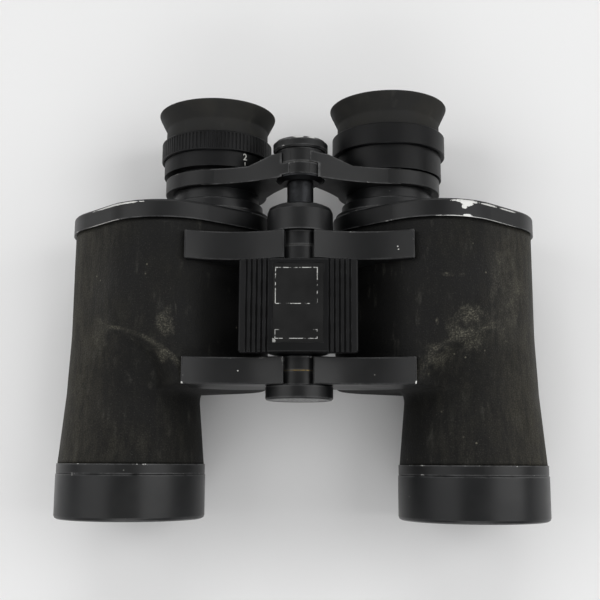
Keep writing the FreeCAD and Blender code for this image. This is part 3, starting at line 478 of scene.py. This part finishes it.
def badge():
    """Brushed silver disc, mottled by corrosion."""
    s = Shader("badge_silver")
    mottle = s.ramp(s.noise(1000, 4, 0.7), 0.40, 0.66)
    colour = s.mix(mottle, rgba(0.26, 0.26, 0.26), rgba(0.11, 0.11, 0.11))
    return s.finish(colour, s.blend(mottle, 0.38, 0.65), s.bump(mottle, 0.00003, 0.4), Metallic=0.8)


def dial_white():
    """Slightly yellowed paint of the dial marks."""
    s = Shader("dial_white")
    worn = s.ramp(s.noise(900, 3), 0.35, 0.7)
    colour = s.mix(worn, rgba(0.62, 0.62, 0.58), rgba(0.40, 0.40, 0.37))
    return s.finish(colour, s.blend(worn, 0.5, 0.7))


MATERIALS = {
    "black_painted_metal": painted_metal("black_painted_metal", (0.0040, 0.0042, 0.0045), 0.32, 0.03),
    "black_anodised": painted_metal("black_anodised", (0.0048, 0.0051, 0.0056), 0.28, -0.02),
    "leatherette": leatherette(),
    "eyecup_rubber": rubber("eyecup_rubber"),
    "optical_glass": coated_glass(),
    "brass": brass_washers(),
    "steel": bare_metal("steel", (0.030, 0.031, 0.033), 0.40),
    "black_plastic": moulded_plastic("black_plastic", (0.0020, 0.0021, 0.0024), 0.34),
    "nameplate_black": nameplate(),
    "badge_silver": badge(),
    "dial_white": dial_white(),
}


def finish_cad_nodes():
    """Gives each carried-over node the procedural material of its slot."""
    slots = {part["node"]: part["material_slot"] for part in frame["record"]["subparts"]}
    for name, node in nodes.items():
        node.data.materials.clear()
        node.data.materials.append(MATERIALS[slots[name]])


# ================================================================ textured covering
def smooth_step(value, low, high):
    share = np.clip((value - low) / (high - low), 0.0, 1.0)
    return share * share * (3 - 2 * share)


def tangent_angles(circles):
    angles = []
    for index, (x, z, radius) in enumerate(circles):
        next_x, next_z, next_radius = circles[(index + 1) % len(circles)]
        distance = math.hypot(next_x - x, next_z - z)
        heading = math.atan2(next_z - z, next_x - x)
        angles.append(heading - math.acos((radius - next_radius) / distance))
    return angles


def outline_points(inset, steps=80):
    """Dense points of the housing outline, as an array of (x, z)."""
    circles = [(x, z, radius - inset) for x, z, radius in COVER_CIRCLES]
    leaving = tangent_angles(circles)
    points = []
    for index, (x, z, radius) in enumerate(circles):
        start, end = leaving[index - 1], leaving[index]
        while end < start:
            end += 2 * math.pi
        for angle in np.linspace(start, end, steps):
            points.append((x + radius * math.cos(angle), z + radius * math.sin(angle)))
    points = np.array(points)
    filled = []
    for here, after in zip(points, np.roll(points, -1, axis=0)):
        count = max(1, int(np.hypot(*(after - here)) / OUTLINE_STEP))
        for step in range(count):
            filled.append(here + (after - here) * step / count)
    return np.array(filled)


def housing_reach():
    """Angles about the objective axis, closer together where the outline is far, and its radius at each."""
    offsets = outline_points(LEATHER_INSET) - np.array(OBJECTIVE)
    outline_angle = np.arctan2(offsets[:, 1], offsets[:, 0])
    outline_radius = np.hypot(offsets[:, 0], offsets[:, 1])
    order = np.argsort(outline_angle)
    outline_angle, outline_radius = outline_angle[order], outline_radius[order]
    even = np.linspace(-math.pi, math.pi, STEPS_AROUND, endpoint=False)
    dense = np.linspace(-math.pi, math.pi, 4000)
    reach = np.interp(dense, outline_angle, outline_radius, period=2 * math.pi)
    spread = np.cumsum(reach ** 0.8)
    spread = (spread - spread[0]) / (spread[-1] - spread[0])
    angles = np.interp((even + math.pi) / (2 * math.pi), spread, dense)
    return angles, np.interp(angles, outline_angle, outline_radius, period=2 * math.pi)


def skin_stations():
    """Places along Y, close together on the rounded front edge of the housing."""
    shelf_back, shoulder_end = BLOCK_FRONT + SHELF_ROUND, SHOULDER_BACK + 0.003
    return np.concatenate([
        np.linspace(FLANGE_BACK, BLOCK_FRONT, CONE_ROWS),
        BLOCK_FRONT + SHELF_ROUND * np.linspace(0, 1, SHELF_ROWS) ** 2,
        np.linspace(shelf_back, shoulder_end, SHOULDER_ROWS)[1:],
        np.linspace(shoulder_end, HOUSING_BACK, HOUSING_ROWS)[1:],
    ])


def skin_radii(y, far, far_x, housed):
    """Radius of the skin at one station: cone, then shoulder, with the housing beside its arch."""
    along = np.clip((y - FLANGE_BACK) / (CONE_BACK - FLANGE_BACK), 0, 1)
    cone = CONE_FRONT_RADIUS + (CONE_BACK_RADIUS - CONE_FRONT_RADIUS) * along
    grow = smooth_step(y, CONE_BACK - CONE_BLEND_BEFORE, SHOULDER_BACK + SHOULDER_BLEND_PAST)
    straight = np.clip((y - CONE_BACK) / (SHOULDER_BACK - CONE_BACK), 0, 1)
    shoulder = cone + (far - cone) * (SMOOTH_SHARE * grow + (1 - SMOOTH_SHARE) * straight)
    reach_y = np.clip((y - BLOCK_FRONT) / ARCH_HALF_Y, 0, 1)
    arch_x = ARCH_X - ARCH_HALF_X * math.sqrt(1 - reach_y ** 2)
    beside = smooth_step(arch_x - far_x, -CREASE_WIDTH * (1 + reach_y), 0.0003)
    depth = np.clip(y - BLOCK_FRONT, 0, SHELF_ROUND)
    drop = SHELF_ROUND - math.sqrt(SHELF_ROUND ** 2 - (SHELF_ROUND - depth) ** 2)
    block = np.maximum(far - drop, shoulder) if housed else shoulder
    return shoulder + (block - shoulder) * beside


def covering_mesh(side):
    """Skin over housing, shoulder and cone as one smooth surface; side is +1 left, -1 right."""
    angles, far = housing_reach()
    far_x = OBJECTIVE[0] + far * np.cos(angles)
    stations = skin_stations()
    vertices = []
    for station, y in enumerate(stations):
        for angle, radius in zip(angles, skin_radii(y, far, far_x, station >= CONE_ROWS)):
            vertices.append((side * (OBJECTIVE[0] + radius * math.cos(angle)), y,
                             OBJECTIVE[1] + radius * math.sin(angle)))
    faces = []
    for station in range(len(stations) - 1):
        for step in range(STEPS_AROUND):
            here, after = station * STEPS_AROUND + step, station * STEPS_AROUND + (step + 1) % STEPS_AROUND
            quad = (here, after, after + STEPS_AROUND, here + STEPS_AROUND)
            faces.append(quad if side < 0 else quad[::-1])
    return vertices, faces


def new_object(name, vertices, faces, material):
    """Smooth-shaded object in the scene, with points in the same place merged."""
    mesh = bpy.data.meshes.new(name)
    mesh.from_pydata([tuple(v) for v in vertices], [], faces)
    mesh.validate()
    shell = bmesh.new()
    shell.from_mesh(mesh)
    bmesh.ops.remove_doubles(shell, verts=shell.verts, dist=SAME_POINT)
    shell.to_mesh(mesh)
    shell.free()
    for polygon in mesh.polygons:
        polygon.use_smooth = True
    mesh.materials.append(material)
    piece = bpy.data.objects.new(name, mesh)
    bpy.context.scene.collection.objects.link(piece)
    return piece


def apply_modifiers(piece):
    """Writes the result of the modifiers into the mesh."""
    bpy.context.view_layer.update()
    evaluated = piece.evaluated_get(bpy.context.evaluated_depsgraph_get())
    mesh = bpy.data.meshes.new_from_object(evaluated)
    piece.modifiers.clear()
    piece.data = mesh
    return piece


def add_coverings():
    """One skin for each half, in place of its plain covering."""
    for side, word in ((1, "left"), (-1, "right")):
        vertices, faces = covering_mesh(side)
        skin = new_object(word + "_covering", vertices, faces, MATERIALS["leatherette"])
        solidify = skin.modifiers.new("thickness", "SOLIDIFY")
        solidify.thickness = LEATHER_THICKNESS
        solidify.offset = -1.0
        apply_modifiers(skin)
        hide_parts(word + "_leatherette")
        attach(skin, word + "_half")


# ================================================================ eyecups
EYECUP_BAND_RADIUS = 0.0185
EYECUP_RIM_RADIUS = 0.0213
EYECUP_BORE = 0.0141
EYECUPS = {
    "left": {"side": 1, "base": 0.05885, "band_end": 0.0672, "rim": 0.07375, "body": "left_eyepiece"},
    "right": {"side": -1, "base": 0.0575, "band_end": 0.06515, "rim": 0.07125, "body": "right_ocular"},
}


def step_towards(start, end, distance):
    """Point at a distance from start on the way to end."""
    share = min(0.5, distance / math.dist(start, end))
    return (start[0] + share * (end[0] - start[0]), start[1] + share * (end[1] - start[1]))


def round_corners(points, reach, steps=5):
    """Replaces each inner corner of an open profile with a small curve."""
    rounded = [points[0]]
    for before, corner, after in zip(points, points[1:], points[2:]):
        start = step_towards(corner, before, reach)
        end = step_towards(corner, after, reach)
        for share in np.linspace(0, 1, steps):
            near, middle, far = (1 - share) ** 2, 2 * share * (1 - share), share ** 2
            rounded.append((near * start[0] + middle * corner[0] + far * end[0],
                            near * start[1] + middle * corner[1] + far * end[1]))
    rounded.append(points[-1])
    return rounded


def lathe(name, centre, profile, material, steps=120):
    """Closed profile of (radius, y) points turned round an axis along Y through centre (x, z)."""
    vertices = []
    for step in range(steps):
        angle = 2 * math.pi * step / steps
        for radius, y in profile:
            vertices.append((centre[0] + radius * math.cos(angle), y, centre[1] + radius * math.sin(angle)))
    count = len(profile)
    faces = []
    for step in range(steps):
        after = (step + 1) % steps
        for index in range(count):
            following = (index + 1) % count
            faces.append((step * count + index, step * count + following,
                          after * count + following, after * count + index))
    piece = new_object(name, vertices, faces, material)
    shell = bmesh.new()
    shell.from_mesh(piece.data)
    bmesh.ops.recalc_face_normals(shell, faces=shell.faces)
    shell.to_mesh(piece.data)
    shell.free()
    return piece


def add_eyecups():
    """Rubber cups with a straight flare, a thin rim and a hollow that narrows to the bore."""
    for word, cup in EYECUPS.items():
        band, flare, rim, band_end = EYECUP_BAND_RADIUS, EYECUP_RIM_RADIUS, cup["rim"], cup["band_end"]
        base = cup["base"] + 0.0001
        outline = [(EYECUP_BORE, base), (band, base), (band, band_end), (flare - 0.0003, rim - 0.0012),
                   (flare, rim - 0.0004), (flare - 0.0004, rim), (flare - 0.0011, rim),
                   (flare - 0.0015, rim - 0.0008), (band - 0.0019, band_end + 0.0006),
                   (EYECUP_BORE, band_end - 0.0010)]
        profile = round_corners(outline, 0.0005)
        centre = (cup["side"] * EYEPIECE[0], EYEPIECE[1])
        piece = lathe(word + "_rubber_cup", centre, profile, MATERIALS["eyecup_rubber"])
        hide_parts(word + "_eyecup")
        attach(piece, cup["body"])


# ================================================================ dioptre dial
DIAL_RADIUS = 0.0190
FIGURE_BASE = 0.05035
TICK_FRONT, TICK_BACK = 0.0483, 0.0496
DIAL_MARKS = [("2", 38), ("+", 62), ("1", 86), ("0", 122), ("1", 158), ("-", 182), ("2", 206)]
MARK_HEIGHT = 0.0024
MARK_THICKNESS = 0.00003
TICK_HALF = 0.00014


def on_dial(across, y, lift, angle):
    """Point on the dial, at a distance along the ring from an angle clockwise from the top."""
    turn = angle + across / DIAL_RADIUS
    radius = DIAL_RADIUS + lift
    return (-EYEPIECE[0] + radius * math.sin(turn), y, EYEPIECE[1] + radius * math.cos(turn))


def figure_mesh(figure, angle):
    """One figure as a thin solid wrapped on the dial."""
    curve = bpy.data.curves.new("figure", "FONT")
    curve.body = figure
    curve.size = MARK_HEIGHT * 1.4
    curve.align_x = "CENTER"
    curve.extrude = MARK_THICKNESS
    curve.offset = 0.00006
    curve.resolution_u = 3
    writing = bpy.data.objects.new("figure", curve)
    bpy.context.scene.collection.objects.link(writing)
    bpy.context.view_layer.update()
    mesh = bpy.data.meshes.new_from_object(writing)
    bpy.data.objects.remove(writing)
    for vertex in mesh.vertices:
        across, up, lift = vertex.co
        vertex.co = on_dial(across, FIGURE_BASE + up, lift, angle)
    mesh.materials.clear()
    mesh.materials.append(MATERIALS["dial_white"])
    return mesh


def add_tick(name, angle):
    """Short line on the dial, below a figure."""
    corners = [(-TICK_HALF, TICK_FRONT), (TICK_HALF, TICK_FRONT), (TICK_HALF, TICK_BACK),
               (-TICK_HALF, TICK_BACK)]
    vertices = [on_dial(across, y, lift, angle) for lift in (-MARK_THICKNESS, MARK_THICKNESS)
                for across, y in corners]
    faces = [(0, 1, 2, 3), (7, 6, 5, 4), (0, 4, 5, 1), (1, 5, 6, 2), (2, 6, 7, 3), (3, 7, 4, 0)]
    return new_object(name, vertices, faces, MATERIALS["dial_white"])


def add_dial_marks():
    """Raised-paint figures and ticks of the dioptre scale."""
    for index, (figure, degrees) in enumerate(DIAL_MARKS):
        angle = math.radians(degrees)
        piece = bpy.data.objects.new(f"dial_figure_{index}", figure_mesh(figure, angle))
        bpy.context.scene.collection.objects.link(piece)
        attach(piece, "diopter_ring")
        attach(add_tick(f"dial_tick_{index}", angle), "diopter_ring")


# ================================================================ stage
def add_floor():
    s = Shader("floor")
    tone = s.ramp(s.noise(1.3, 2), 0.3, 0.7)
    paper = s.finish(s.mix(tone, rgba(0.80, 0.80, 0.80), rgba(0.82, 0.82, 0.82)), 0.85)
    corners = [(-FLOOR_HALF, -FLOOR_HALF, 0), (FLOOR_HALF, -FLOOR_HALF, 0),
               (FLOOR_HALF, FLOOR_HALF, 0), (-FLOOR_HALF, FLOOR_HALF, 0)]
    new_object("floor", corners, [(0, 1, 2, 3)], paper)


def add_area_light(name, place, size, energy):
    data = bpy.data.lights.new(name, "AREA")
    data.shape = "RECTANGLE"
    data.size, data.size_y = size
    data.energy = energy
    light = bpy.data.objects.new(name, data)
    light.location = place
    light.rotation_euler = (Vector(LIGHT_TARGET) - Vector(place)).to_track_quat("-Z", "Y").to_euler()
    bpy.context.scene.collection.objects.link(light)


def add_lights():
    for light in LIGHTS:
        add_area_light(*light)
    world = bpy.data.worlds.new("room")
    world.use_nodes = True
    background = world.node_tree.nodes["Background"]
    background.inputs["Color"].default_value = rgba(1, 1, 1)
    background.inputs["Strength"].default_value = ROOM_LIGHT
    bpy.context.scene.world = world


def add_camera():
    data = bpy.data.cameras.new("camera")
    data.lens = CAMERA_LENS
    data.sensor_width = SENSOR_WIDTH
    data.clip_start = 0.01
    camera = bpy.data.objects.new("camera", data)
    camera.location = CAMERA_PLACE
    camera.rotation_mode = "ZYX"
    camera.rotation_euler = [math.radians(angle) for angle in CAMERA_TILT_DEG]
    bpy.context.scene.collection.objects.link(camera)
    bpy.context.scene.camera = camera


finish_cad_nodes()
add_coverings()
add_eyecups()
add_dial_marks()
add_floor()
add_lights()
add_camera()
bpy.context.scene.view_settings.view_transform = "Standard"
